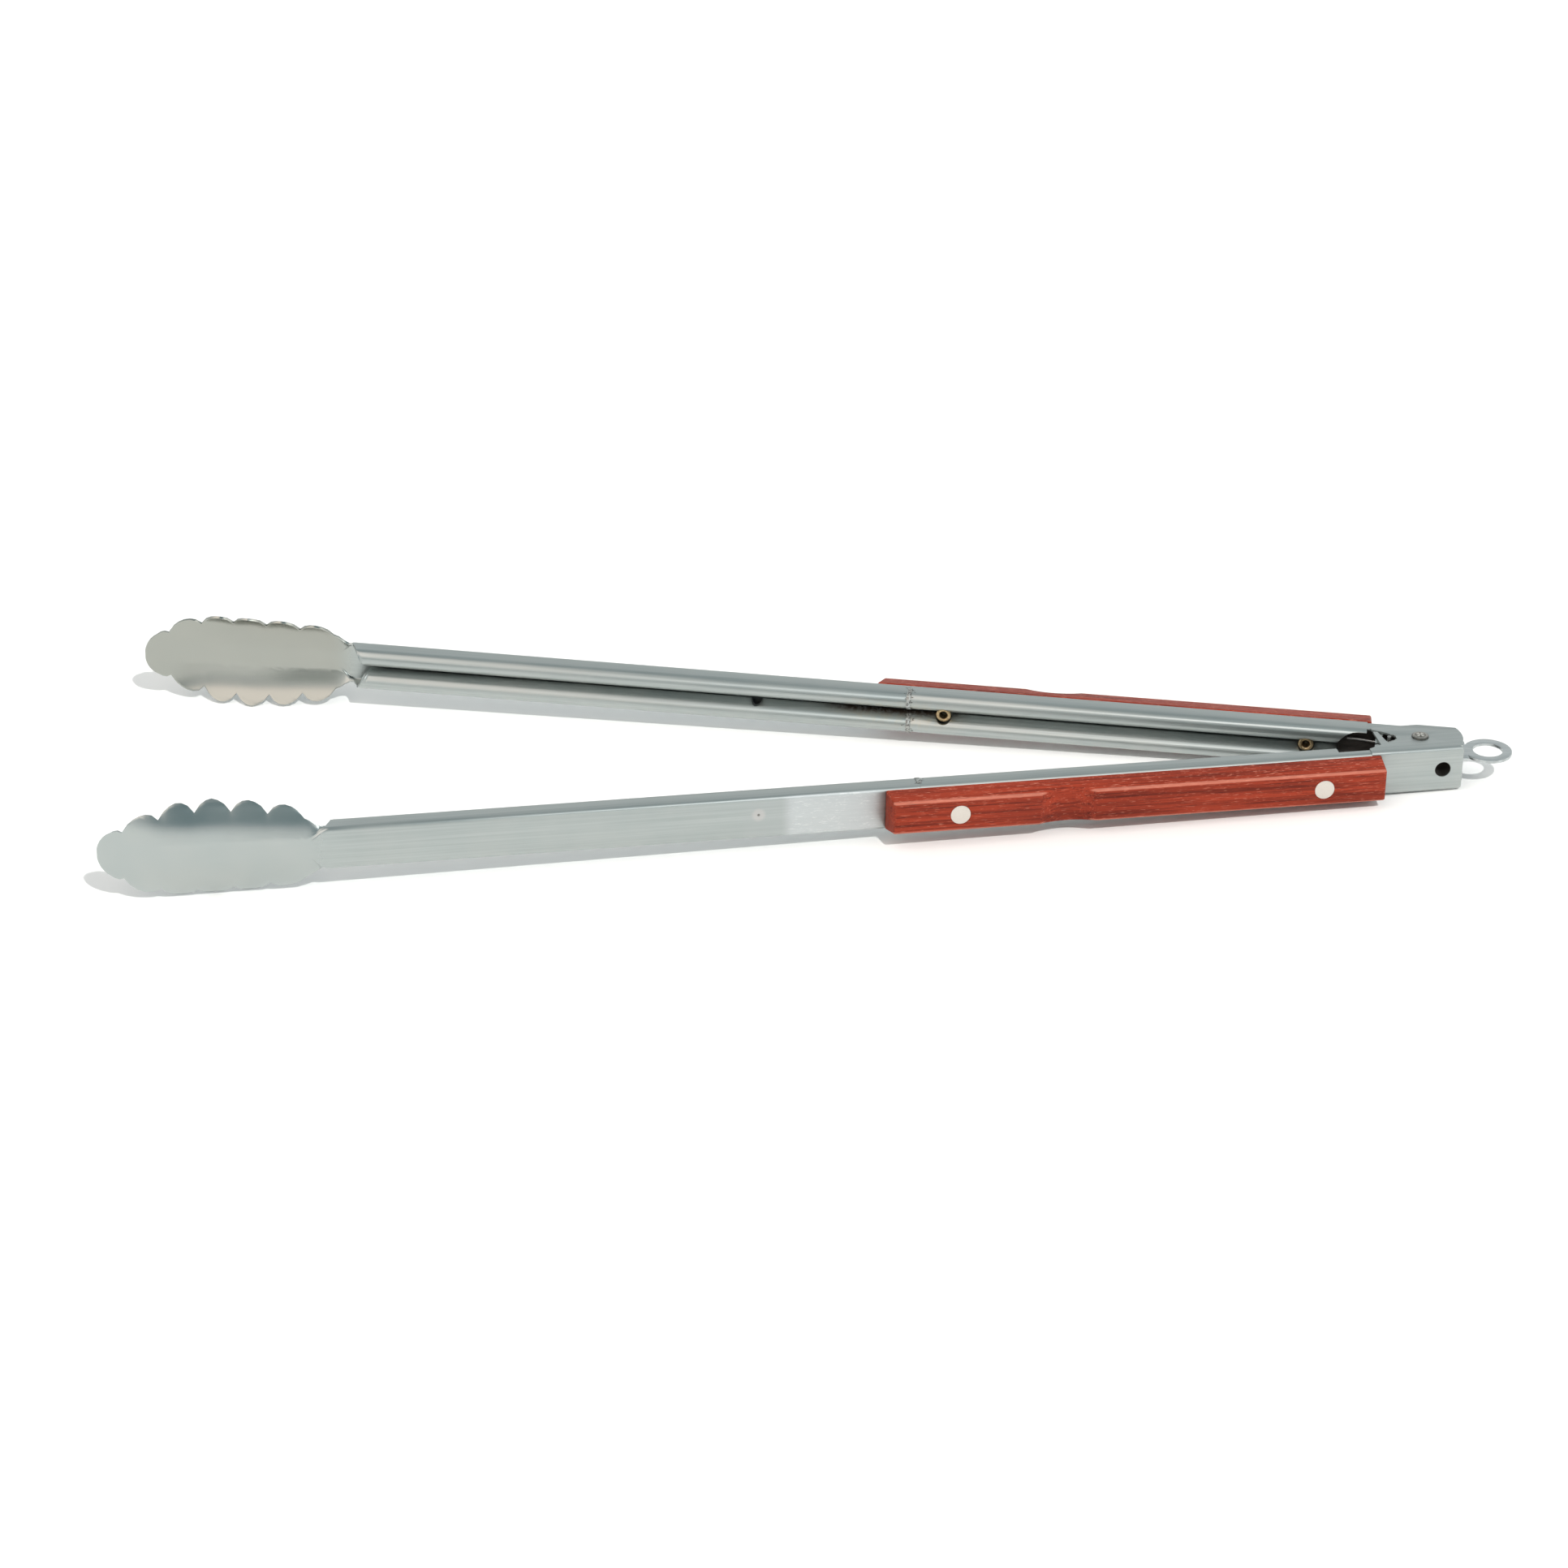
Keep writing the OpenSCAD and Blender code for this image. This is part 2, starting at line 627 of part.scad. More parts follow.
// Point on an arm, in the hinge's own frame: side -1 in front, +1 at the rear
function on_arm(side, u, w, z) = [
    -u * cos(half_open) + w * sin(half_open),
    side * (u * sin(half_open) + w * cos(half_open)),
    z
];

// Coil round the sleeve with a leg along each back wall
module torsion_spring() {
    leg_w = web_in - wire_d / 2 - 0.25;
    turn_steps = 20;
    sweep = coil_turns * 360 - 180;
    coil_z = [for (i = [0 : coil_turns * turn_steps]) coil_top - coil_pitch * (coil_turns - 0.5) * i / (coil_turns * turn_steps)];
    coil = [for (i = [0 : coil_turns * turn_steps]) let (q = 90 + sweep * i / (coil_turns * turn_steps))
        [coil_d / 2 * cos(q), coil_d / 2 * sin(q), coil_z[i]]];
    last = coil_z[len(coil_z) - 1];
    path = concat(
        [on_arm(1, leg_u, leg_w, coil_top), on_arm(1, leg_u - 4, leg_w, coil_top), on_arm(1, 8, coil_d / 2 + 2.2, coil_top)],
        [[-2.5, coil_d / 2 + 0.12, coil_top]],
        coil,
        [[-2.5, -coil_d / 2 - 0.12, last]],
        [on_arm(-1, 8, coil_d / 2 + 2.2, last), on_arm(-1, leg_u - 4, leg_w, last), on_arm(-1, leg_u, leg_w, last)]
    );
    color([0.6, 0.6, 0.58])
    at_hinge() wire(path, wire_d, 8);
}

// Flat slide: ring outside, slot round the sleeve, hole for the lock bar
module lock_slide() {
    slot_half = sleeve_d / 2 + run_fit + 0.05;
    tail = bar_x + bar_d / 2 + 1.2;
    color([0.7, 0.72, 0.72])
    at_hinge() translate([0, 0, slide_z - slide_t / 2]) linear_extrude(slide_t)
    difference() {
        union() {
            translate([ring_x, 0]) circle(d = ring_d);
            translate([-6, -slide_w / 2]) square([ring_x - 2.5, slide_w]);
            translate([-tail, -2.6]) square([tail, 5.2]);
        }
        translate([ring_x, 0]) circle(d = ring_hole_d);
        translate([-pull_travel - 0.2, 0]) circle(slot_half);
        translate([push_travel + 0.2, 0]) circle(slot_half);
        translate([-pull_travel - 0.2, -slot_half]) square([pull_travel + push_travel + 0.4, 2 * slot_half]);
        translate([-bar_x, 0]) circle(d = bar_d + 2 * hole_fit);
    }
}

module lock_bar() {
    color([0.6, 0.6, 0.58])
    at_hinge() translate([-bar_x, 0, 0]) cylinder(d = bar_d, h = 2 * bar_half_len, center = true);
}

module front_handle_channel() { front_side() handle_channel(outer_flange_z, front_edge_w, front_lobe_start); }
module rear_handle_channel() { rear_side() handle_channel(inner_out, lobe_w, lobe_first - 0.5); }
module front_scoop_arm() { front_side() scoop_arm(); }
module rear_scoop_arm() { rear_side() scoop_arm(); }
module front_splice_sleeve() { front_side() splice_sleeve(); }
module rear_splice_sleeve() { rear_side() splice_sleeve(); }
module front_weld_bead() { front_side() weld_bead(); }
module rear_weld_bead() { rear_side() weld_bead(); }
module front_wood_scale() { front_side() wood_scale(); }
module rear_wood_scale() { rear_side() wood_scale(); }
module front_hinge_end_rivet() { front_side() scale_rivet(rivet_hinge_u); }
module front_scoop_end_rivet() { front_side() scale_rivet(rivet_scoop_u); }
module rear_hinge_end_rivet() { rear_side() scale_rivet(rivet_hinge_u); }
module rear_scoop_end_rivet() { rear_side() scale_rivet(rivet_scoop_u); }
module front_hinge_end_eyelet() { front_side() rivet_eyelet(rivet_hinge_u); }
module front_scoop_end_eyelet() { front_side() rivet_eyelet(rivet_scoop_u); }
module rear_hinge_end_eyelet() { rear_side() rivet_eyelet(rivet_hinge_u); }
module rear_scoop_end_eyelet() { rear_side() rivet_eyelet(rivet_scoop_u); }

front_handle_channel();
rear_handle_channel();
front_scoop_arm();
rear_scoop_arm();
front_splice_sleeve();
rear_splice_sleeve();
front_weld_bead();
rear_weld_bead();
front_wood_scale();
rear_wood_scale();
front_hinge_end_rivet();
front_scoop_end_rivet();
rear_hinge_end_rivet();
rear_scoop_end_rivet();
front_hinge_end_eyelet();
front_scoop_end_eyelet();
rear_hinge_end_eyelet();
rear_scoop_end_eyelet();
pivot_rivet();
pivot_sleeve();
torsion_spring();
lock_slide();
lock_bar();
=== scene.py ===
"""Long spring-loaded kitchen tongs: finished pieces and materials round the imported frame."""
import json
import math

import bmesh
import bpy
from bpy.props import FloatProperty, FloatVectorProperty, IntProperty, PointerProperty
from bpy.types import Operator, Panel, PropertyGroup
from mathutils import Matrix, Vector


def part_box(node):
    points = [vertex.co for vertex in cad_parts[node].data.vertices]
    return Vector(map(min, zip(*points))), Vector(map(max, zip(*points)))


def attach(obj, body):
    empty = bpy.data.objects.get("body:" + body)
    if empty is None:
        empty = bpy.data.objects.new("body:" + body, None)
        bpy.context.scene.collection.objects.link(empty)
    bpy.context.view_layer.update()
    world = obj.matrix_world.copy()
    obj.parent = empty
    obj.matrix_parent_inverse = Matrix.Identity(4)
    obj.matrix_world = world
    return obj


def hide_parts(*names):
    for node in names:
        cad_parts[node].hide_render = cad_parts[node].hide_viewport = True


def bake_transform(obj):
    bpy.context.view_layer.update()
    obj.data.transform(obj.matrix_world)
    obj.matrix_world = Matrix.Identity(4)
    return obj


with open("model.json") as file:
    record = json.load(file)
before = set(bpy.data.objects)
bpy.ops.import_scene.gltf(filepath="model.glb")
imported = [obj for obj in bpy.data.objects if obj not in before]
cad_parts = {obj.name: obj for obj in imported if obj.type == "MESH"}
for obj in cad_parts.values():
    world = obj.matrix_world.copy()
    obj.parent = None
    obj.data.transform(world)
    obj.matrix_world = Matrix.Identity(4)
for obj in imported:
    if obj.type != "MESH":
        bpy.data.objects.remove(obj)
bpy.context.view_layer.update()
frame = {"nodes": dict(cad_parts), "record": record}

bl_info = {
    "name": "Kitchen tongs",
    "version": (1, 0, 0),
    "blender": (4, 5, 0),
    "location": "View3D > Sidebar > Tongs",
    "description": "Builds the finished pieces of sprung kitchen tongs on their frame",
    "category": "Object",
}

MM = 0.001
JOINTS = {joint["name"]: joint for joint in frame["record"]["behaviour"]["joints"]}
HINGE = Vector(JOINTS["arm_hinge"]["pos_m"])
SIDES = {"front": 1, "rear": -1}
BODY_OF = {
    node: body
    for body, nodes in frame["record"]["behaviour"]["bodies"].items()
    for node in nodes
}


def middle_of(node):
    """Centre of a CAD node's box at rest."""
    low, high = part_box(node)
    return (Vector(low) + Vector(high)) / 2


# The hinge axis at the height of the arms' middle plane
MID_HINGE = Vector((HINGE.x, HINGE.y, middle_of("pivot_rivet").z))


# ---- settings ----

class TongsStageSettings(PropertyGroup):
    """Camera, floor and lights."""
    elevation: FloatProperty(
        name="Elevation", description="Camera's height above the horizon",
        default=math.radians(27.5), subtype="ANGLE")
    azimuth: FloatProperty(
        name="Azimuth", description="Turn of the camera round the hinge axis",
        default=math.radians(-0.97), subtype="ANGLE")
    roll: FloatProperty(
        name="Roll", description="Turn of the camera about its own axis",
        default=math.radians(-0.88), subtype="ANGLE")
    camera_place: FloatVectorProperty(
        name="Camera place", description="Where the camera stands, from the hinge axis",
        default=(-0.2958, -1.6393, 0.8398), unit="LENGTH", subtype="TRANSLATION")
    focal_length: FloatProperty(
        name="Focal length", description="Lens length on a 36 mm wide sensor, in millimetres",
        default=105.5, unit="CAMERA")
    floor_size: FloatProperty(
        name="Floor size", description="Width of the floor", default=9.0, unit="LENGTH")
    floor_colour: FloatVectorProperty(
        name="Floor colour", description="Colour of the floor",
        default=(0.9, 0.905, 0.9), subtype="COLOR", size=3)
    floor_touch: FloatProperty(
        name="Touching place",
        description="Distance from the scoop arm's middle to where it lies on the floor",
        default=0.10, unit="LENGTH")
    key_direction: FloatVectorProperty(
        name="Key direction", description="Direction towards the key light",
        default=(3.6, -8.2, 10.0), subtype="DIRECTION")
    key_power: FloatProperty(
        name="Key strength", description="Strength of the key light", default=2.15)
    key_colour: FloatVectorProperty(
        name="Key colour", description="Colour of the key light",
        default=(1.0, 0.985, 0.96), subtype="COLOR", size=3)
    key_softness: FloatProperty(
        name="Key softness", description="Apparent width of the key light",
        default=math.radians(1.4), subtype="ANGLE")
    strip_place: FloatVectorProperty(
        name="Strip place", description="Middle of the light strip that draws the arms' edges",
        default=(-0.02, -0.42, 0.38), unit="LENGTH", subtype="TRANSLATION")
    strip_size: FloatVectorProperty(
        name="Strip size", description="Length and width of that strip",
        default=(0.56, 0.05), unit="LENGTH", size=2)
    strip_power: FloatProperty(
        name="Strip power", description="Power of that strip", default=0.7, unit="POWER")
    sky_power: FloatProperty(
        name="Sky strength", description="Strength of the soft light all round", default=0.7)


class TongsSizeSettings(PropertyGroup):
    """Sizes of the details that are added to the frame's pieces."""
    half_open: FloatProperty(
        name="Half opening", description="Angle from the middle plane to each arm",
        default=math.radians(9.35), subtype="ANGLE")
    sheet_round: FloatProperty(
        name="Sheet edge", description="Rounding of the cut edges of the sheet",
        default=0.12 * MM, unit="LENGTH")
    wood_round: FloatProperty(
        name="Wood edge", description="Rounding of the scale's edges",
        default=0.8 * MM, unit="LENGTH")
    rivet_round: FloatProperty(
        name="Rivet edge", description="Rounding of the edges of the scale rivets and the lock bar",
        default=0.15 * MM, unit="LENGTH")
    pivot_round: FloatProperty(
        name="Hinge rivet edge", description="Rounding of the hinge rivet's edges",
        default=0.08 * MM, unit="LENGTH")
    bead_round: FloatProperty(
        name="Weld edge", description="Rounding of the weld beads' edges",
        default=0.1 * MM, unit="LENGTH")
    rivet_reach: FloatProperty(
        name="Rivet reach", description="Distance round each scale rivet where the wood stays sharp",
        default=9 * MM, unit="LENGTH")
    round_steps: IntProperty(
        name="Rounding steps", description="Segments across each rounded edge", default=2, min=1, max=4)
    weld_u: FloatProperty(
        name="Weld place", description="Distance from the hinge to the butt weld",
        default=207 * MM, unit="LENGTH")
    plug_u: FloatProperty(
        name="Plug weld place", description="Distance from the hinge to the plug weld",
        default=270 * MM, unit="LENGTH")
    neck_u: FloatProperty(
        name="Neck place", description="Distance from the hinge to the narrow neck of the scoop",
        default=436 * MM, unit="LENGTH")
    lobe_u: FloatProperty(
        name="Lobe place", description="Distance from the hinge to the start of the rolled lobes",
        default=24.5 * MM, unit="LENGTH")
    web_w: FloatProperty(
        name="Back wall place", description="Distance from an arm's middle line to its back wall's outside",
        default=11.6 * MM, unit="LENGTH")
    crest_z: FloatProperty(
        name="Crest height", description="Height of the scale's long outer edges above its middle",
        default=6.55 * MM, unit="LENGTH")
    coil_reach: FloatProperty(
        name="Coil reach",
        description="Distance from the hinge axis where the spring's coil ends and its legs begin",
        default=4.2 * MM, unit="LENGTH")


class TongsFinishSettings(PropertyGroup):
    """Colours of the materials."""
    steel: FloatVectorProperty(
        name="Steel", description="Colour of the arms' sheet",
        default=(0.47, 0.505, 0.495), subtype="COLOR", size=3)
    steel_dark: FloatVectorProperty(
        name="Dark steel", description="Colour in the sheet's fine lines",
        default=(0.385, 0.42, 0.412), subtype="COLOR", size=3)
    wood_light: FloatVectorProperty(
        name="Light wood", description="Colour of the wood between its dark lines",
        default=(0.305, 0.040, 0.018), subtype="COLOR", size=3)
    wood_mid: FloatVectorProperty(
        name="Middle wood", description="Main colour of the wood",
        default=(0.19, 0.0245, 0.0118), subtype="COLOR", size=3)
    wood_dark: FloatVectorProperty(
        name="Dark wood", description="Colour of the wood's dark lines",
        default=(0.062, 0.0095, 0.006), subtype="COLOR", size=3)
    rivet: FloatVectorProperty(
        name="Rivet", description="Colour of the flat rivet heads",
        default=(0.62, 0.575, 0.52), subtype="COLOR", size=3)
    brass: FloatVectorProperty(
        name="Brass", description="Colour of the eyelets",
        default=(0.56, 0.42, 0.24), subtype="COLOR", size=3)
    tint: FloatVectorProperty(
        name="Heat tint", description="Colour left on the steel by the weld",
        default=(0.075, 0.045, 0.028), subtype="COLOR", size=3)


# ---- shader maths ----

class Value:
    """A shader socket; arithmetic on it adds Math nodes."""

    def __init__(self, paint, socket):
        self.paint = paint
        self.socket = socket

    def maths(self, operation, *others, clamp=False):
        node = self.paint.add(
            "ShaderNodeMath", {"operation": operation, "use_clamp": clamp},
            dict(enumerate((self,) + others)))
        return node["Value"]

    def __add__(self, other):
        return self.maths("ADD", other)

    def __sub__(self, other):
        return self.maths("SUBTRACT", other)

    def __rsub__(self, other):
        return self.paint.add(
            "ShaderNodeMath", {"operation": "SUBTRACT"}, {0: other, 1: self})["Value"]

    def __mul__(self, other):
        return self.maths("MULTIPLY", other)

    def __truediv__(self, other):
        return self.maths("DIVIDE", other)

    def __abs__(self):
        return self.maths("ABSOLUTE")

    __radd__ = __add__
    __rmul__ = __mul__

    def ramp(self, low, high, smooth=True):
        """0 below low, 1 above high."""
        kind = "SMOOTHSTEP" if smooth else "LINEAR"
        return self.paint.add(
            "ShaderNodeMapRange", {"interpolation_type": kind, "clamp": True},
            {"Value": self, "From Min": low, "From Max": high})["Result"]

    def near(self, place, width, soft):
        """1 within width of the place, falling to 0 over the soft distance."""
        return 1 - abs(self - place).ramp(width, width + soft)


class Step:
    """A shader node whose outputs are read by name as Values."""

    def __init__(self, paint, node):
        self.paint = paint
        self.node = node

    def __getitem__(self, name):
        return Value(self.paint, self.node.outputs[name])


class Paint:
    """One material with a Principled shader, built by name."""

    def __init__(self, name, metallic=0.0, roughness=0.5, coat=0.0, specular=0.5):
        self.material = bpy.data.materials.new(name)
        self.material.use_nodes = True
        self.tree = self.material.node_tree
        self.shader = self.tree.nodes["Principled BSDF"]
        self.shader.inputs["Metallic"].default_value = metallic
        self.shader.inputs["Roughness"].default_value = roughness
        self.shader.inputs["Coat Weight"].default_value = coat
        self.shader.inputs["Coat Roughness"].default_value = 0.25
        self.shader.inputs["Specular IOR Level"].default_value = specular

    def add(self, kind, settings=None, sockets=None):
        node = self.tree.nodes.new(kind)
        for key, setting in (settings or {}).items():
            if key == "stops":
                self.set_stops(node.color_ramp, setting)
            else:
                setattr(node, key, setting)
        for key, value in (sockets or {}).items():
            self.feed(node.inputs[key], value)
        return Step(self, node)

    def feed(self, socket, value):
        if isinstance(value, Value):
            self.tree.links.new(value.socket, socket)
        else:
            socket.default_value = value

    @staticmethod
    def set_stops(ramp, stops):
        while len(ramp.elements) < len(stops):
            ramp.elements.new(0.5)
        for element, (place, colour) in zip(ramp.elements, stops):
            element.position = place
            element.color = (*colour, 1.0)

    def object_space(self):
        return self.add("ShaderNodeTexCoord")["Object"]

    def arm_space(self, side):
        """Millimetres along the arm from the hinge, outwards and up."""
        sizes = bpy.context.scene.tongs_sizes
        turn = -(math.pi + sizes.half_open)
        scale = Vector((1 / MM, SIDES[side] / MM, 1 / MM))
        spin = Matrix.Rotation(turn, 3, "Z")
        start = spin @ Vector([-h * s for h, s in zip(MID_HINGE, scale)])
        return self.add(
            "ShaderNodeMapping", {"vector_type": "POINT"},
            {"Vector": self.object_space(), "Location": start,
             "Rotation": (0.0, 0.0, turn), "Scale": scale})["Vector"]

    def stretched(self, space, scale):
        return self.add("ShaderNodeMapping", None, {"Vector": space, "Scale": scale})["Vector"]

    def noise(self, space, scale=1.0, detail=3.0, rough=0.55):
        return self.add(
            "ShaderNodeTexNoise", {"noise_dimensions": "3D"},
            {"Vector": space, "Scale": scale, "Detail": detail, "Roughness": rough})["Fac"]

    def mix(self, factor, first, second):
        node = self.add("ShaderNodeMix", {"data_type": "RGBA"}, {0: factor})
        for index, value in ((6, first), (7, second)):
            if isinstance(value, Value):
                self.feed(node.node.inputs[index], value)
            else:
                node.node.inputs[index].default_value = (*value, 1.0)
        return Value(self, node.node.outputs[2])

    def parts(self, space):
        split = self.add("ShaderNodeSeparateXYZ", None, {0: space})
        return split["X"], split["Y"], split["Z"]

    def bump(self, height, depth, strength=1.0):
        normal = self.add(
            "ShaderNodeBump", None,
            {"Height": height, "Distance": depth, "Strength": strength})["Normal"]
        self.set(Normal=normal)

    def set(self, **sockets):
        for name, value in sockets.items():
            self.feed(self.shader.inputs[name.replace("_", " ")], value)


class Sky(Paint):
    """The world's background, built like a material."""

    def __init__(self, name):
        self.world = bpy.data.worlds.new(name)
        self.world.use_nodes = True
        self.tree = self.world.node_tree
        self.shader = self.tree.nodes["Background"]


# ---- materials ----

def brushed_steel(side):
    """Sheet steel with its grain along the arm, weld tint inside and a ground patch outside."""
    finish = bpy.context.scene.tongs_finish
    sizes = bpy.context.scene.tongs_sizes
    weld, plug, neck = sizes.weld_u / MM, sizes.plug_u / MM, sizes.neck_u / MM
    lobe, web = sizes.lobe_u / MM, sizes.web_w / MM
    paint = Paint(f"{side} arm steel", metallic=1.0, roughness=0.3)
    space = paint.arm_space(side)
    along, depth, height = paint.parts(space)
    drawn = 1 - along.ramp(neck - 11.0, neck + 16.0) * 0.92
    grain = paint.noise(paint.stretched(space, (0.012, 1.1, 1.1)), 1.0, 5.0, 0.6)
    fine = paint.noise(paint.stretched(space, (0.05, 6.0, 6.0)), 1.0, 3.0, 0.6)
    cloud = paint.noise(space, 0.05, 3.0, 0.5)
    lines = (grain - 0.5) * drawn + 0.5
    colour = paint.mix(lines.ramp(0.25, 0.75), tuple(finish.steel_dark), tuple(finish.steel))
    colour = paint.mix(cloud.ramp(0.35, 0.75) * 0.3, colour, (0.51, 0.525, 0.505))
    # Painted shade: the rear scoop's sheet, seen from inside its hollow, is painted duller and with a
    # warmer cast than the front one's
    if side == "rear":
        colour = paint.mix(along.ramp(neck, neck + 14.0) * 0.5, colour, (0.34, 0.325, 0.27))
    # Heat tint round the weld, strongest in the seam between the lobes
    inner = 1 - depth.ramp(web - 3.2, web - 2.0)
    ragged = paint.noise(space, 0.35, 4.0, 0.7)
    seam = 1 - abs(height).ramp(0.4, 2.2)
    tint = along.near(weld + 6, 12.0, 22.0) * seam * ragged.ramp(0.2, 0.6) * inner
    straw = along.near(weld + 4, 8.0, 26.0) * (1 - abs(height).ramp(2.0, 8.0)) * inner
    colour = paint.mix(straw * ragged.ramp(0.3, 0.7) * 0.35, colour, (0.55, 0.47, 0.33))
    colour = paint.mix((tint * 1.1).maths("MINIMUM", 0.92), colour, tuple(finish.tint))
    # Broken dark line where the two segments were welded
    wander = paint.noise(paint.stretched(space, (0.0, 0.5, 0.5)), 1.0, 3.0, 0.6)
    crack = (along - weld - (wander - 0.5) * 16.0).near(0.0, 0.15, 0.45)
    crack = crack * ragged.ramp(0.44, 0.54) * inner
    colour = paint.mix(crack * 0.9, colour, (0.05, 0.042, 0.036))
    # Painted shade and grease darken the inside of the hinge
    lobes = along.ramp(lobe, lobe + 1.5) * (1 - depth.ramp(5.0, 6.0))
    grease_and_shade = (1 - along.ramp(lobe + 7.0, lobe + 11.5)) * (1 - lobes)
    grease_and_shade = grease_and_shade * (1 - depth.ramp(web - 0.75, web - 0.3)) * (1 - abs(height).ramp(7.6, 8.2))
    colour = paint.mix(grease_and_shade * 0.9, colour, (0.07, 0.052, 0.045))
    # Ground patch and the plug weld's spot on the back wall
    outside = depth.ramp(web - 1.0, web - 0.2)
    patch = along.near(weld + 35, 16.0, 5.0) * outside
    dashes = paint.noise(paint.stretched(space, (0.35, 1.0, 2.6)), 1.0, 3.0, 0.7).ramp(0.55, 0.68)
    colour = paint.mix(patch * 0.45, colour, (0.74, 0.76, 0.78))
    colour = paint.mix(patch * dashes * 0.4, colour, (0.92, 0.92, 0.9))
    dulled = along.near(plug - 2, 6.0, 6.0) * outside
    colour = paint.mix(dulled * 0.3, colour, (0.45, 0.47, 0.47))
    beside, over = along - plug - 1.5, height - 1.5
    spot_way = (beside * beside + over * over).maths("SQRT")
    spot = (1 - spot_way.ramp(1.6, 3.4)) * outside
    colour = paint.mix(spot * 0.5, colour, (0.68, 0.64, 0.62))
    colour = paint.mix((1 - spot_way.ramp(0.25, 0.8)) * outside * 0.8, colour, (0.12, 0.11, 0.10))
    rough = 0.11 + drawn * 0.20 + lines * 0.12 + cloud * 0.08
    rough = rough + patch * 0.08 + tint * 0.25 + spot * 0.15
    paint.set(Base_Color=colour, Roughness=rough.maths("MINIMUM", 0.8))
    relief = (lines * 0.5 + fine * 0.35 * drawn) * (1 - patch * 0.7)
    relief = relief + dashes * patch * 0.5 + tint * ragged
    paint.bump(relief, 0.025 * MM, 0.5)
    return paint.material


def rosewood(side):
    """Red-brown hardwood with dark growth lines, pores and pale flecks along the scale."""
    finish = bpy.context.scene.tongs_finish
    crest_z = bpy.context.scene.tongs_sizes.crest_z / MM
    paint = Paint(f"{side} rosewood", roughness=0.5, coat=0.0, specular=0.12)
    arm = paint.arm_space(side)
    # Each scale is cut from its own place in the board
    offset = (0.0, 30.0 * SIDES[side], 0.0)
    space = paint.add("ShaderNodeVectorMath", {"operation": "ADD"}, {0: arm, 1: offset})["Vector"]
    warp = paint.noise(paint.stretched(space, (0.012, 0.10, 0.10)), 1.0, 2.0, 0.5)
    bands = paint.noise(paint.stretched(space, (0.010, 0.42, 0.42)), 1.0, 5.0, 0.62)
    lines = paint.noise(paint.stretched(space, (0.022, 1.5, 1.5)), 1.0, 4.0, 0.6)
    pores = paint.noise(paint.stretched(space, (0.14, 3.4, 3.4)), 1.0, 2.0, 0.5)
    flecks = paint.noise(paint.stretched(space, (0.28, 2.6, 2.6)), 1.0, 2.0, 0.6)
    figure = (bands * 0.7 + warp * 0.3).ramp(0.36, 0.66)
    body = paint.mix(figure, tuple(finish.wood_mid), tuple(finish.wood_light))
    dark = (1 - lines.ramp(0.36, 0.50)) * 0.62 + (1 - bands.ramp(0.30, 0.44)) * 0.5
    body = paint.mix(dark.maths("MINIMUM", 0.85), body, tuple(finish.wood_dark))
    pore = 1 - pores.ramp(0.30, 0.38)
    body = paint.mix(pore * 0.65, body, (0.06, 0.012, 0.01))
    # The long bevels show more flecks, and a painted highlight lightens the edges between the faces
    along, depth, height = paint.parts(arm)
    bevel = abs(height).ramp(crest_z + 0.05, crest_z + 0.45)
    fleck = flecks.ramp(0.60, 0.68)
    body = paint.mix(fleck * (0.3 + bevel * 0.35), body, (0.62, 0.22, 0.15))
    crest_highlight = abs(height).near(crest_z, 0.25, 0.5) * (depth + along * 0.007 - 21.0).ramp(-0.6, 0.2)
    body = paint.mix(crest_highlight * (0.3 + flecks * 0.4), body, (0.62, 0.24, 0.17))
    paint.set(Base_Color=body, Roughness=0.42 + lines * 0.16 + pore * 0.2)
    paint.bump(lines * 0.4 - pore * 0.9 + flecks * 0.2, 0.06 * MM, 0.5)
    return paint.material


def rivet_metal(side):
    """Pale flat heads with fine scratches; painted shade darkens the hollow end inside the arm."""
    finish = bpy.context.scene.tongs_finish
    paint = Paint(f"{side} rivet metal", metallic=0.5, roughness=0.42)
    space = paint.object_space()
    depth = paint.parts(paint.arm_space(side))[1]
    speck = paint.noise(space, 2200.0, 4.0, 0.6)
    lines = paint.noise(paint.stretched(space, (300.0, 300.0, 2600.0)), 1.0, 3.0, 0.6)
    colour = paint.mix(speck.ramp(0.4, 0.75) * 0.35, tuple(finish.rivet), (0.55, 0.5, 0.44))
    # Painted shade: the end of the rivet inside the arm is darkened
    colour = paint.mix(depth.ramp(8.5, 10.0), (0.03, 0.035, 0.03), colour)
    paint.set(Base_Color=colour, Roughness=0.34 + lines * 0.2)
    paint.bump(lines, 0.02 * MM, 0.4)
    return paint.material


def clinched_head():
    """Hinge rivet: worn steel with a star-shaped clinch pressed into its head."""
    paint = Paint("pivot steel", metallic=1.0, roughness=0.3)
    across, deep, _ = paint.parts(paint.object_space())
    across, deep = (across - HINGE.x) / MM, (deep - HINGE.y) / MM
    way = (across * across + deep * deep + 0.01).maths("SQRT")
    arms = abs(across * deep) * 2 / (way * way)
    star = arms.ramp(0.35, 0.8) * (1 - way.ramp(1.5, 2.0))
    hollow = 1 - way.ramp(1.9, 2.5)
    speck = paint.noise(paint.object_space(), 1400.0, 3.0, 0.6)
    colour = paint.mix(speck.ramp(0.35, 0.7), (0.30, 0.29, 0.26), (0.48, 0.46, 0.42))
    colour = paint.mix(hollow * 0.75, colour, (0.13, 0.12, 0.10))
    colour = paint.mix(star, colour, (0.70, 0.68, 0.62))
    # Painted shadow: a dark ring round the edge of the head
    colour = paint.mix(way.ramp(2.8, 3.3) * 0.8, colour, (0.10, 0.095, 0.085))
    paint.set(Base_Color=colour, Roughness=0.26 + speck * 0.15)
    paint.bump(star * 0.6 - hollow * 0.5 + speck * 0.1, 0.35 * MM, 0.8)
    return paint.material


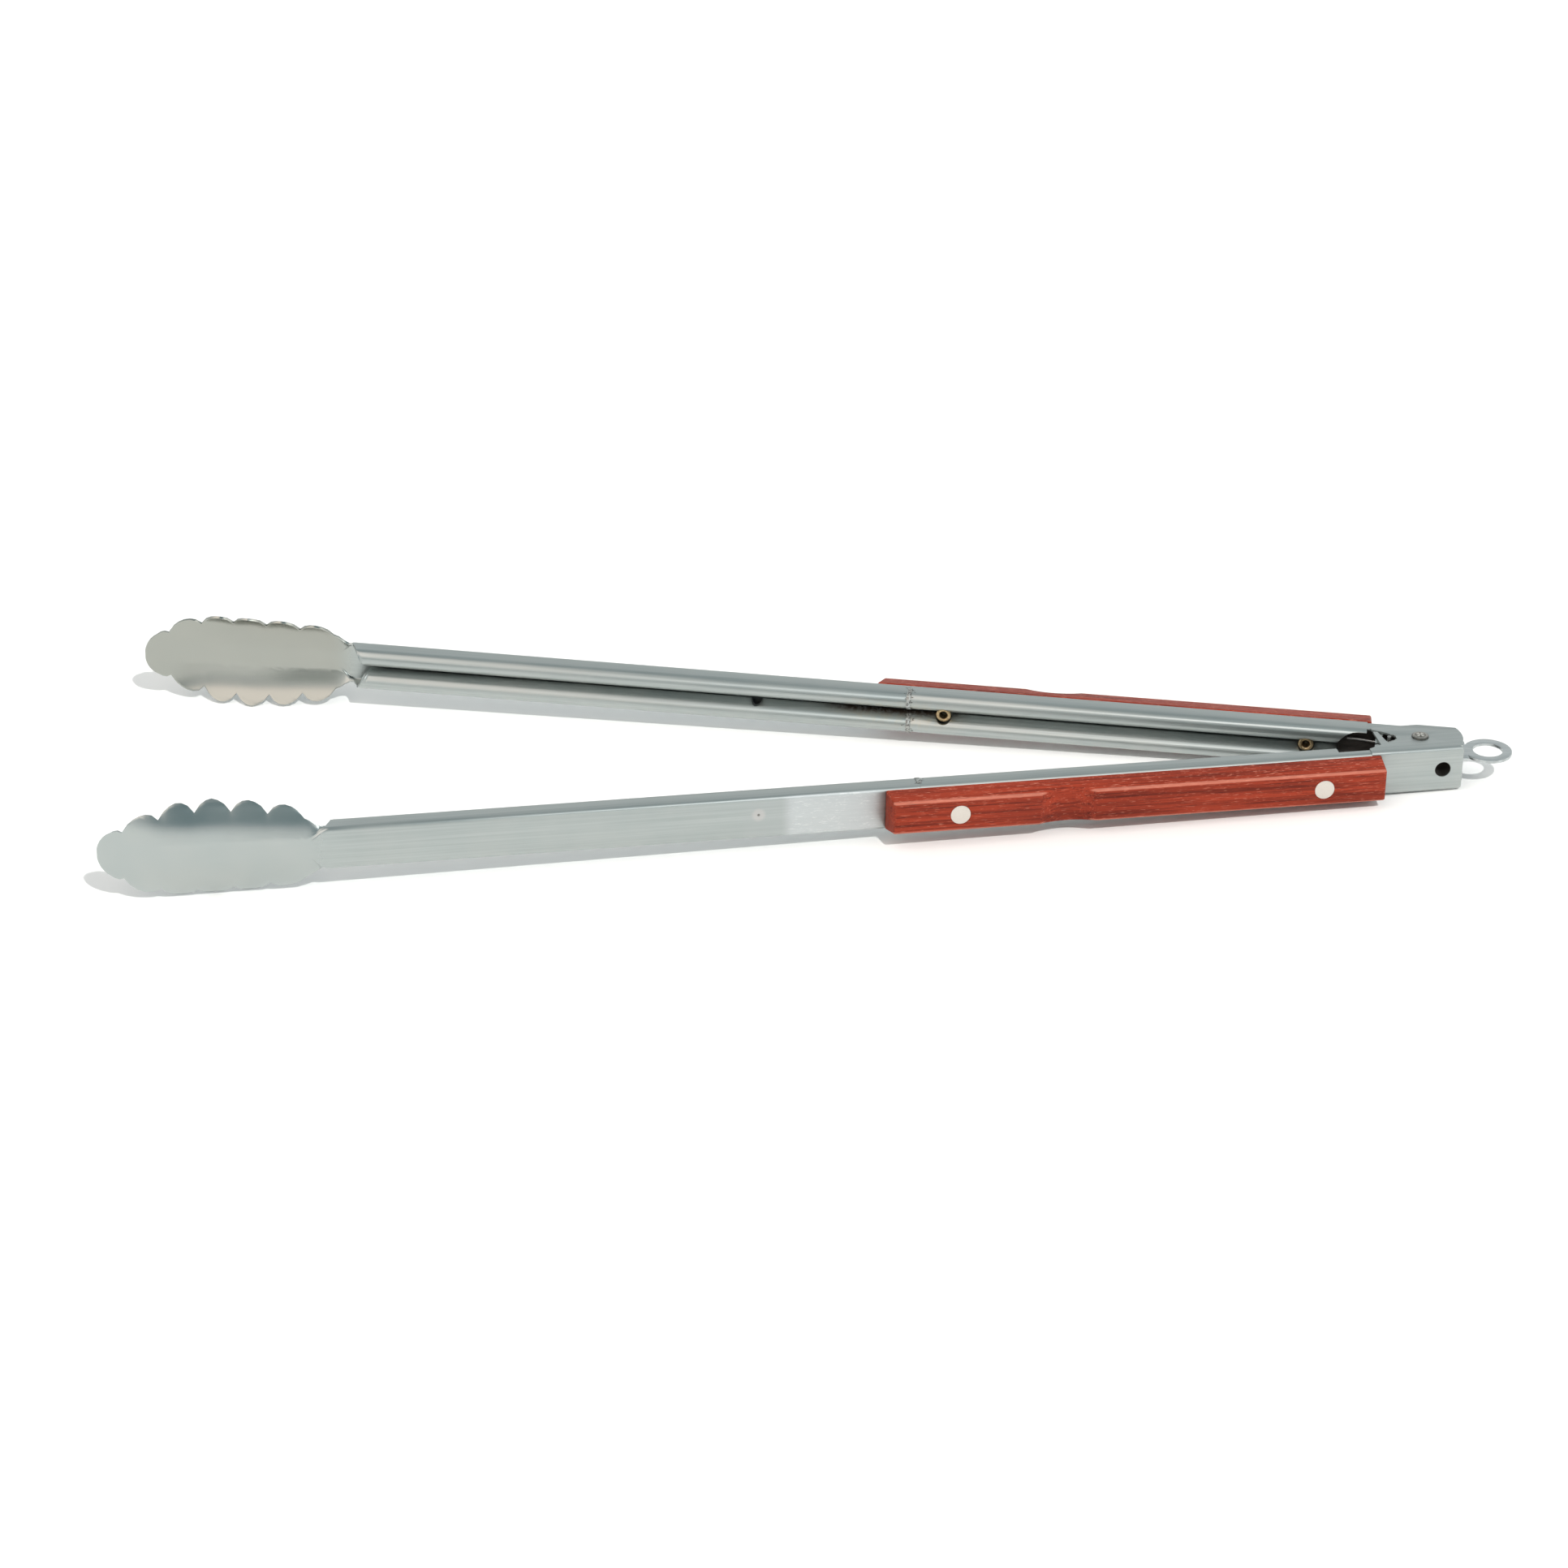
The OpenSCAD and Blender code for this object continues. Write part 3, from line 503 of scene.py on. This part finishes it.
def dull_brass():
    """Rolled eyelets, mottled with darker specks."""
    finish = bpy.context.scene.tongs_finish
    paint = Paint("eyelet brass", metallic=1.0, roughness=0.34)
    space = paint.object_space()
    speck = paint.noise(space, 1500.0, 4.0, 0.6)
    colour = paint.mix(speck.ramp(0.4, 0.7), tuple(finish.brass), (0.30, 0.21, 0.12))
    paint.set(Base_Color=colour, Roughness=0.26 + speck * 0.25)
    paint.bump(speck, 0.03 * MM, 0.4)
    return paint.material


def plain_steel(name, light, dark, rough, size):
    """Small steel parts: fine mottling and slight wear."""
    paint = Paint(name, metallic=1.0, roughness=rough)
    space = paint.object_space()
    mottle = paint.noise(space, size, 4.0, 0.6)
    cloud = paint.noise(space, size * 0.12, 2.0, 0.5)
    colour = paint.mix(mottle.ramp(0.35, 0.7), dark, light)
    paint.set(Base_Color=colour, Roughness=rough - 0.06 + mottle * 0.12 + cloud * 0.08)
    paint.bump(mottle, 0.02 * MM, 0.4)
    return paint.material


def weld_metal():
    """Rough weld with straw and brown oxide."""
    paint = Paint("weld oxide", metallic=0.8, roughness=0.5)
    space = paint.object_space()
    lumps = paint.noise(space, 900.0, 4.0, 0.65)
    tint = paint.noise(space, 300.0, 3.0, 0.6)
    cracks = paint.noise(space, 620.0, 3.0, 0.7).near(0.5, 0.015, 0.03)
    colour = paint.mix(tint.ramp(0.35, 0.65) * 0.6, (0.50, 0.53, 0.52), (0.34, 0.32, 0.28))
    colour = paint.mix(cracks * 0.85, colour, (0.06, 0.05, 0.045))
    paint.set(Base_Color=colour, Roughness=0.38 + lumps * 0.25)
    paint.bump(lumps, 0.12 * MM, 0.8)
    return paint.material


def inner_steel():
    """Plain sheet of the parts that are hidden inside."""
    return plain_steel("inner steel", (0.5, 0.5, 0.48), (0.36, 0.36, 0.34), 0.4, 700.0)


def spring_wire():
    """Drawn wire, slightly darker than the sheet."""
    return plain_steel("spring wire", (0.42, 0.42, 0.41), (0.28, 0.28, 0.27), 0.32, 1800.0)


def slide_plate():
    """Stamped plate with its grain along the slide."""
    paint = Paint("slide steel", metallic=1.0, roughness=0.34)
    space = paint.object_space()
    grain = paint.noise(paint.stretched(space, (60.0, 1500.0, 900.0)), 1.0, 5.0, 0.65)
    cloud = paint.noise(space, 90.0, 3.0, 0.5)
    colour = paint.mix(grain.ramp(0.3, 0.7), (0.44, 0.47, 0.47), (0.60, 0.63, 0.63))
    paint.set(Base_Color=colour, Roughness=0.28 + grain * 0.14 + cloud * 0.1)
    paint.bump(grain, 0.02 * MM, 0.5)
    return paint.material


MADE = {}


def finish_named(name, make, *args):
    """A material made once and kept by name."""
    if name not in MADE:
        MADE[name] = make(*args)
    return MADE[name]


# ---- pieces ----

def only(piece):
    """Selects one object and makes it active."""
    bpy.ops.object.select_all(action="DESELECT")
    piece.select_set(True)
    bpy.context.view_layer.objects.active = piece


def apply_modifier(piece, kind, **settings):
    only(piece)
    modifier = piece.modifiers.new(kind.title(), kind)
    for key, setting in settings.items():
        setattr(modifier, key, setting)
    bpy.ops.object.modifier_apply(modifier=modifier.name)


def merged_copy(node, name):
    """A copy of a CAD node with its loose triangles merged and its flat faces joined."""
    source = frame["nodes"][node]
    piece = bpy.data.objects.new(name, source.data.copy())
    bpy.context.collection.objects.link(piece)
    only(piece)
    bpy.ops.object.mode_set(mode="EDIT")
    bpy.ops.mesh.select_all(action="SELECT")
    bpy.ops.mesh.customdata_custom_splitnormals_clear()
    bpy.ops.mesh.remove_doubles(threshold=2e-6)
    bpy.ops.mesh.dissolve_limited(angle_limit=math.radians(0.4))
    bpy.ops.object.mode_set(mode="OBJECT")
    return piece


def weigh_edges(piece, keep_sharp, reach):
    """Marks the sharp edges to be rounded: all those out of reach of the given places."""
    mesh = bmesh.new()
    mesh.from_mesh(piece.data)
    weight = mesh.edges.layers.float.new("bevel_weight_edge")
    for edge in mesh.edges:
        middle = (edge.verts[0].co + edge.verts[1].co) / 2
        sharp = edge.calc_face_angle(0.0) > math.radians(30.0)
        clear = all((middle - place).length > reach for place in keep_sharp)
        edge[weight] = 1.0 if sharp and clear else 0.0
    mesh.to_mesh(piece.data)
    mesh.free()


def softened(node, rounding, steps, smooth_angle=32.0, keep_sharp=(), reach=0.0):
    """A CAD node's shape with its cut edges rounded, standing for that node."""
    piece = merged_copy(node, f"{node}_finished")
    if rounding:
        weigh_edges(piece, keep_sharp, reach)
        apply_modifier(
            piece, "BEVEL", width=rounding, segments=steps, limit_method="WEIGHT",
            use_clamp_overlap=True, harden_normals=False)
    only(piece)
    bpy.ops.object.shade_smooth_by_angle(angle=math.radians(smooth_angle))
    return piece


def paint_with(piece, material):
    piece.data.materials.clear()
    piece.data.materials.append(material)


def stand_for(piece, node):
    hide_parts(node)
    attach(piece, BODY_OF[node])


class TONGS_OT_arms(Operator):
    """Handle channels and scoop arms with softened edges and brushed steel"""
    bl_idname = "tongs.arms"
    bl_label = "Arms"

    def execute(self, context):
        sizes = context.scene.tongs_sizes
        for side in SIDES:
            steel = finish_named(f"{side} steel", brushed_steel, side)
            for node in (f"{side}_handle_channel", f"{side}_scoop_arm"):
                piece = softened(node, sizes.sheet_round, sizes.round_steps)
                paint_with(piece, steel)
                stand_for(piece, node)
        return {"FINISHED"}


class TONGS_OT_scales(Operator):
    """Wooden scales with eased edges"""
    bl_idname = "tongs.scales"
    bl_label = "Wood scales"

    def execute(self, context):
        sizes = context.scene.tongs_sizes
        for side in SIDES:
            node = f"{side}_wood_scale"
            rivets = [middle_of(f"{side}_{end}_rivet") for end in ("hinge_end", "scoop_end")]
            piece = softened(node, sizes.wood_round, 3, keep_sharp=rivets, reach=sizes.rivet_reach)
            paint_with(piece, finish_named(f"{side} wood", rosewood, side))
            stand_for(piece, node)
        return {"FINISHED"}


class TONGS_OT_fasteners(Operator):
    """Scale rivets and eyelets"""
    bl_idname = "tongs.fasteners"
    bl_label = "Scale rivets"

    def execute(self, context):
        sizes = context.scene.tongs_sizes
        for side in SIDES:
            for end in ("hinge_end", "scoop_end"):
                rivet = f"{side}_{end}_rivet"
                piece = softened(rivet, sizes.rivet_round, sizes.round_steps)
                paint_with(piece, finish_named(f"{side} rivet", rivet_metal, side))
                stand_for(piece, rivet)
                eyelet = f"{side}_{end}_eyelet"
                piece = softened(eyelet, 0.0, 1, 40.0)
                paint_with(piece, finish_named("brass", dull_brass))
                stand_for(piece, eyelet)
        return {"FINISHED"}


class TONGS_OT_splices(Operator):
    """Splice sleeves and weld beads"""
    bl_idname = "tongs.splices"
    bl_label = "Splices and welds"

    def execute(self, context):
        sizes = context.scene.tongs_sizes
        for side in SIDES:
            sleeve = frame["nodes"][f"{side}_splice_sleeve"]
            paint_with(sleeve, finish_named("inner", inner_steel))
            bead = f"{side}_weld_bead"
            piece = softened(bead, sizes.bead_round, sizes.round_steps)
            paint_with(piece, finish_named("weld", weld_metal))
            stand_for(piece, bead)
        return {"FINISHED"}


class TONGS_OT_hinge(Operator):
    """Hinge rivet, sleeve, spring, slide and lock bar"""
    bl_idname = "tongs.hinge"
    bl_label = "Hinge and lock"

    def execute(self, context):
        sizes = context.scene.tongs_sizes
        pivot = softened("pivot_rivet", sizes.pivot_round, sizes.round_steps, 40.0)
        paint_with(pivot, finish_named("pivot", clinched_head))
        stand_for(pivot, "pivot_rivet")
        paint_with(frame["nodes"]["pivot_sleeve"], finish_named("inner", inner_steel))
        spring = softened("torsion_spring", 0.0, 1, 60.0)
        paint_with(spring, finish_named("wire", spring_wire))
        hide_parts("torsion_spring")
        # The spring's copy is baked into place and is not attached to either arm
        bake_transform(spring)
        bar = softened("lock_bar", sizes.rivet_round, sizes.round_steps)
        paint_with(bar, finish_named("wire", spring_wire))
        stand_for(bar, "lock_bar")
        slide = softened("lock_slide", sizes.sheet_round, sizes.round_steps)
        paint_with(slide, finish_named("slide", slide_plate))
        stand_for(slide, "lock_slide")
        return {"FINISHED"}


# ---- stage ----

def floor_material():
    """Pale matt floor with faint mottling."""
    stage = bpy.context.scene.tongs_stage
    paint = Paint("pale floor", roughness=0.9, specular=0.1)
    mottle = paint.noise(paint.object_space(), 3.0, 2.0, 0.5)
    base = tuple(stage.floor_colour)
    colour = paint.mix(mottle * 0.25, base, tuple(channel * 0.985 for channel in base))
    paint.set(Base_Color=colour)
    return paint.material


def studio_sky(stage):
    """Pale surround with a warm light box on the left of the camera and a dark screen on its right."""
    pale, overhead = (1.18, 1.22, 1.22), (0.62, 0.70, 0.72)
    dark, warm, bright = (0.26, 0.40, 0.44), (2.35, 2.15, 2.02), (2.5, 2.5, 2.45)
    sky = Sky("studio")
    right, back, up = sky.parts(sky.add("ShaderNodeTexCoord")["Generated"])
    colour = sky.mix(up.ramp(0.35, 0.95), pale, overhead)
    front = (0 - back).ramp(-0.10, 0.20)
    above = up.ramp(0.05, 0.20)
    left = (0 - right).ramp(-0.04, 0.16)
    screen = front * above * (1 - left) * (1 - right.ramp(0.42, 0.58))
    colour = sky.mix(screen * 0.9, colour, dark)
    colour = sky.mix(front * left * up.ramp(0.20, 0.45), colour, warm)
    colour = sky.mix(front * right.ramp(0.42, 0.58) * up.ramp(0.3, 0.5), colour, bright)
    sky.set(Color=colour, Strength=stage.sky_power)
    return sky


class TONGS_OT_stage(Operator):
    """Floor, lights and camera"""
    bl_idname = "tongs.stage"
    bl_label = "Stage"

    def execute(self, context):
        stage = context.scene.tongs_stage
        self.make_floor(stage)
        self.make_key(context, stage)
        self.make_strip(context, stage)
        context.scene.world = studio_sky(stage).world
        self.make_camera(context, stage)
        context.scene.view_settings.view_transform = "Standard"
        return {"FINISHED"}

    @staticmethod
    def make_floor(stage):
        """A plane that the scoops and the hinge rivet touch."""
        rivet_low = Vector((HINGE.x, 0.0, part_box("pivot_rivet")[0][2]))
        scoop_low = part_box("front_scoop_arm")[0]
        scoop_x = middle_of("front_scoop_arm").x - stage.floor_touch
        lean = math.atan2(rivet_low.z - scoop_low[2], rivet_low.x - scoop_x)
        bpy.ops.object.select_all(action="DESELECT")
        bpy.ops.mesh.primitive_plane_add(size=stage.floor_size)
        floor = bpy.context.object
        floor.name = "floor"
        floor.location = (scoop_x, 0.0, scoop_low[2] - 0.05 * MM)
        floor.rotation_euler = (0.0, -lean, 0.0)
        floor.data.materials.append(floor_material())

    @staticmethod
    def make_key(context, stage):
        """Sun for the shadows; the sheet's gloss comes from the surround and the strip."""
        light = bpy.data.lights.new("key", "SUN")
        light.energy = stage.key_power
        light.angle = stage.key_softness
        light.color = stage.key_colour
        key = bpy.data.objects.new("key", light)
        key.rotation_euler = Vector(stage.key_direction).to_track_quat("Z", "Y").to_euler()
        key.visible_glossy = False
        context.collection.objects.link(key)

    @staticmethod
    def make_strip(context, stage):
        """Long narrow light along the arms, seen only in their gloss."""
        strip = bpy.data.lights.new("edge strip", "AREA")
        strip.shape = "RECTANGLE"
        strip.size, strip.size_y = stage.strip_size
        strip.energy = stage.strip_power
        lamp = bpy.data.objects.new("edge_strip", strip)
        lamp.location = stage.strip_place
        aim = Vector((0.0, lamp.location.y, lamp.location.z))
        lamp.rotation_euler = aim.to_track_quat("Z", "Y").to_euler()
        lamp.visible_camera = False
        lamp.visible_diffuse = False
        context.collection.objects.link(lamp)

    @staticmethod
    def make_camera(context, stage):
        lens = bpy.data.cameras.new("camera")
        lens.sensor_width = 36.0
        lens.lens = stage.focal_length
        lens.clip_start = 0.05
        camera = bpy.data.objects.new("camera", lens)
        camera.location = MID_HINGE + Vector(stage.camera_place)
        camera.rotation_euler = (math.pi / 2 - stage.elevation, stage.roll, stage.azimuth)
        context.collection.objects.link(camera)
        context.scene.camera = camera


# ---- panel and registration ----

OPERATORS = (
    TONGS_OT_arms, TONGS_OT_scales, TONGS_OT_fasteners, TONGS_OT_splices, TONGS_OT_hinge, TONGS_OT_stage,
)


class TONGS_PT_panel(Panel):
    """Lists the steps that build the tongs"""
    bl_idname = "TONGS_PT_panel"
    bl_label = "Kitchen tongs"
    bl_space_type = "VIEW_3D"
    bl_region_type = "UI"
    bl_category = "Tongs"

    def draw(self, context):
        for operator in OPERATORS:
            self.layout.operator(operator.bl_idname)


SETTINGS = {
    "tongs_stage": TongsStageSettings,
    "tongs_sizes": TongsSizeSettings,
    "tongs_finish": TongsFinishSettings,
}
CLASSES = tuple(SETTINGS.values()) + OPERATORS + (TONGS_PT_panel,)


def register():
    for cls in CLASSES:
        bpy.utils.register_class(cls)
    for name, group in SETTINGS.items():
        setattr(bpy.types.Scene, name, PointerProperty(type=group))


def unregister():
    for name in SETTINGS:
        delattr(bpy.types.Scene, name)
    for cls in reversed(CLASSES):
        bpy.utils.unregister_class(cls)


def main():
    register()
    for operator in OPERATORS:
        group, name = operator.bl_idname.split(".")
        getattr(getattr(bpy.ops, group), name)()


if __name__ == "__main__":
    main()
